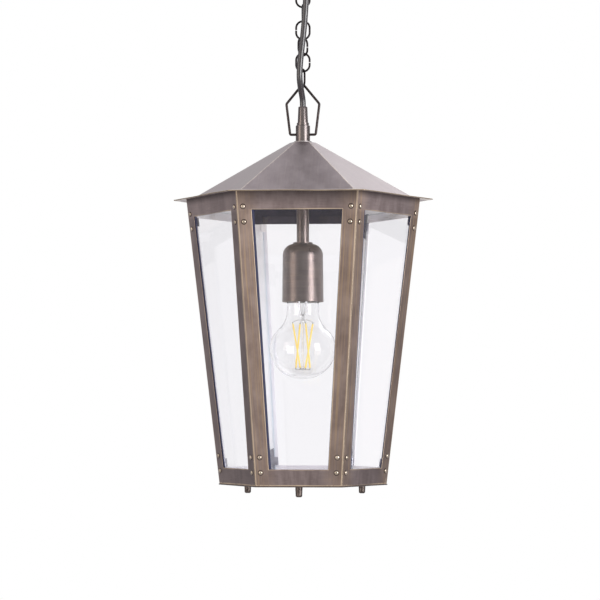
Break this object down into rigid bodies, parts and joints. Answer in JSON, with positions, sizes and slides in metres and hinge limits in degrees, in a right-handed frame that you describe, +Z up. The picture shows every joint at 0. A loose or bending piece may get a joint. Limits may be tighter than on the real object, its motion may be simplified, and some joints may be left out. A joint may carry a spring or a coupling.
{
  "type": "outdoor hanging lamp",
  "caption": "Hexagonal tapered brass lantern with clear panes, a folded roof and a clear bulb inside, hung by a bail and a wire chain from a ceiling rose, with its cable alongside.",
  "frame": {"origin": "middle of the ceiling rose's screw circle, on the ceiling's face", "axes": "+Z up into the ceiling, -Y out of the lantern's front side, +X to the right seen from the front"},
  "size_m": [0.28, 0.2424, 0.5933],
  "materials": {
    "aged_brass": "brushed and aged brown",
    "brass_bracket": "aged sheet",
    "bright_brass": "bare and bright",
    "bronze_wire": "dark bronze",
    "dark_metal": "dark satin",
    "pane_glass": "clear",
    "bulb_glass": "clear",
    "filament": "phosphor coating",
    "cap_metal": "plain",
    "porcelain": "glazed",
    "cable_sheath": "satin sheath",
    "grommet_rubber": "matt"
  },
  "bodies": {
    "ceiling": {"ceiling_rose": "aged_brass", "ceiling_hook": "bronze_wire", "hook_nut": "bronze_wire", "hook_flange": "aged_brass", "rose_grommet": "grommet_rubber", "flex": "cable_sheath"},
    "link_1": {"chain_link_1": "bronze_wire"},
    "link_2": {"chain_link_2": "bronze_wire"},
    "link_3": {"chain_link_3": "bronze_wire"},
    "link_4": {"chain_link_4": "bronze_wire"},
    "link_5": {"chain_link_5": "bronze_wire"},
    "link_6": {"chain_link_6": "bronze_wire"},
    "bail": {"bail": "bronze_wire"},
    "lantern": {"collar": "aged_brass", "roof_washer": "aged_brass", "cord_gland": "aged_brass", "inner_flex": "cable_sheath", "roof": "aged_brass", "side_frame_1": "aged_brass", "side_frame_2": "aged_brass", "side_frame_3": "aged_brass", "side_frame_4": "aged_brass", "side_frame_5": "aged_brass", "side_frame_6": "aged_brass", "pane_1": "pane_glass", "pane_2": "pane_glass", "pane_3": "pane_glass", "pane_4": "pane_glass", "pane_5": "pane_glass", "pane_6": "pane_glass", "top_bracket_1": "brass_bracket", "top_bracket_2": "brass_bracket", "top_bracket_3": "brass_bracket", "top_bracket_4": "brass_bracket", "top_bracket_5": "brass_bracket", "top_bracket_6": "brass_bracket", "bottom_bracket_1": "brass_bracket", "bottom_bracket_2": "brass_bracket", "bottom_bracket_3": "brass_bracket", "bottom_bracket_4": "brass_bracket", "bottom_bracket_5": "brass_bracket", "bottom_bracket_6": "brass_bracket", "frame_rivets_top": "bright_brass", "frame_rivets_bottom": "bright_brass", "base_plate": "aged_brass", "base_screws": "dark_metal", "foot_nuts": "dark_metal", "stem": "aged_brass", "lampholder_cup": "aged_brass", "lampholder_insert": "porcelain", "bulb_glass": "bulb_glass", "bulb_cap": "cap_metal", "bulb_filaments": "filament", "bulb_mount": "bulb_glass"}
  },
  "joints": [
    {"name": "link_1_swing", "type": "hinge", "parent": "ceiling", "child": "link_1", "pos_m": [0, 0, -0.0509], "axis": [0, 1, 0], "range_deg": [-12, 12], "deforming": ["flex"]},
    {"name": "link_2_swing", "type": "hinge", "parent": "link_1", "child": "link_2", "pos_m": [0, 0, -0.0677], "axis": [1, 0, 0], "range_deg": [-12, 12]},
    {"name": "link_3_swing", "type": "hinge", "parent": "link_2", "child": "link_3", "pos_m": [0, 0, -0.0852], "axis": [0, 1, 0], "range_deg": [-12, 12]},
    {"name": "link_4_swing", "type": "hinge", "parent": "link_3", "child": "link_4", "pos_m": [0, 0, -0.1027], "axis": [-1, 0, 0], "range_deg": [-12, 12]},
    {"name": "link_5_swing", "type": "hinge", "parent": "link_4", "child": "link_5", "pos_m": [0, 0, -0.1202], "axis": [0.6157, 0.788, 0], "range_deg": [-12, 12]},
    {"name": "link_6_swing", "type": "hinge", "parent": "link_5", "child": "link_6", "pos_m": [0, 0, -0.1377], "axis": [1, 0, 0], "range_deg": [-12, 12]},
    {"name": "bail_swing", "type": "hinge", "parent": "link_6", "child": "bail", "pos_m": [0, 0, -0.1552], "axis": [-0.309, 0.9511, 0], "range_deg": [-12, 12]},
    {"name": "lantern_swing", "type": "hinge", "parent": "bail", "child": "lantern", "pos_m": [0, 0, -0.20605], "axis": [1, 0, 0], "range_deg": [-20, 20]}
  ]
}
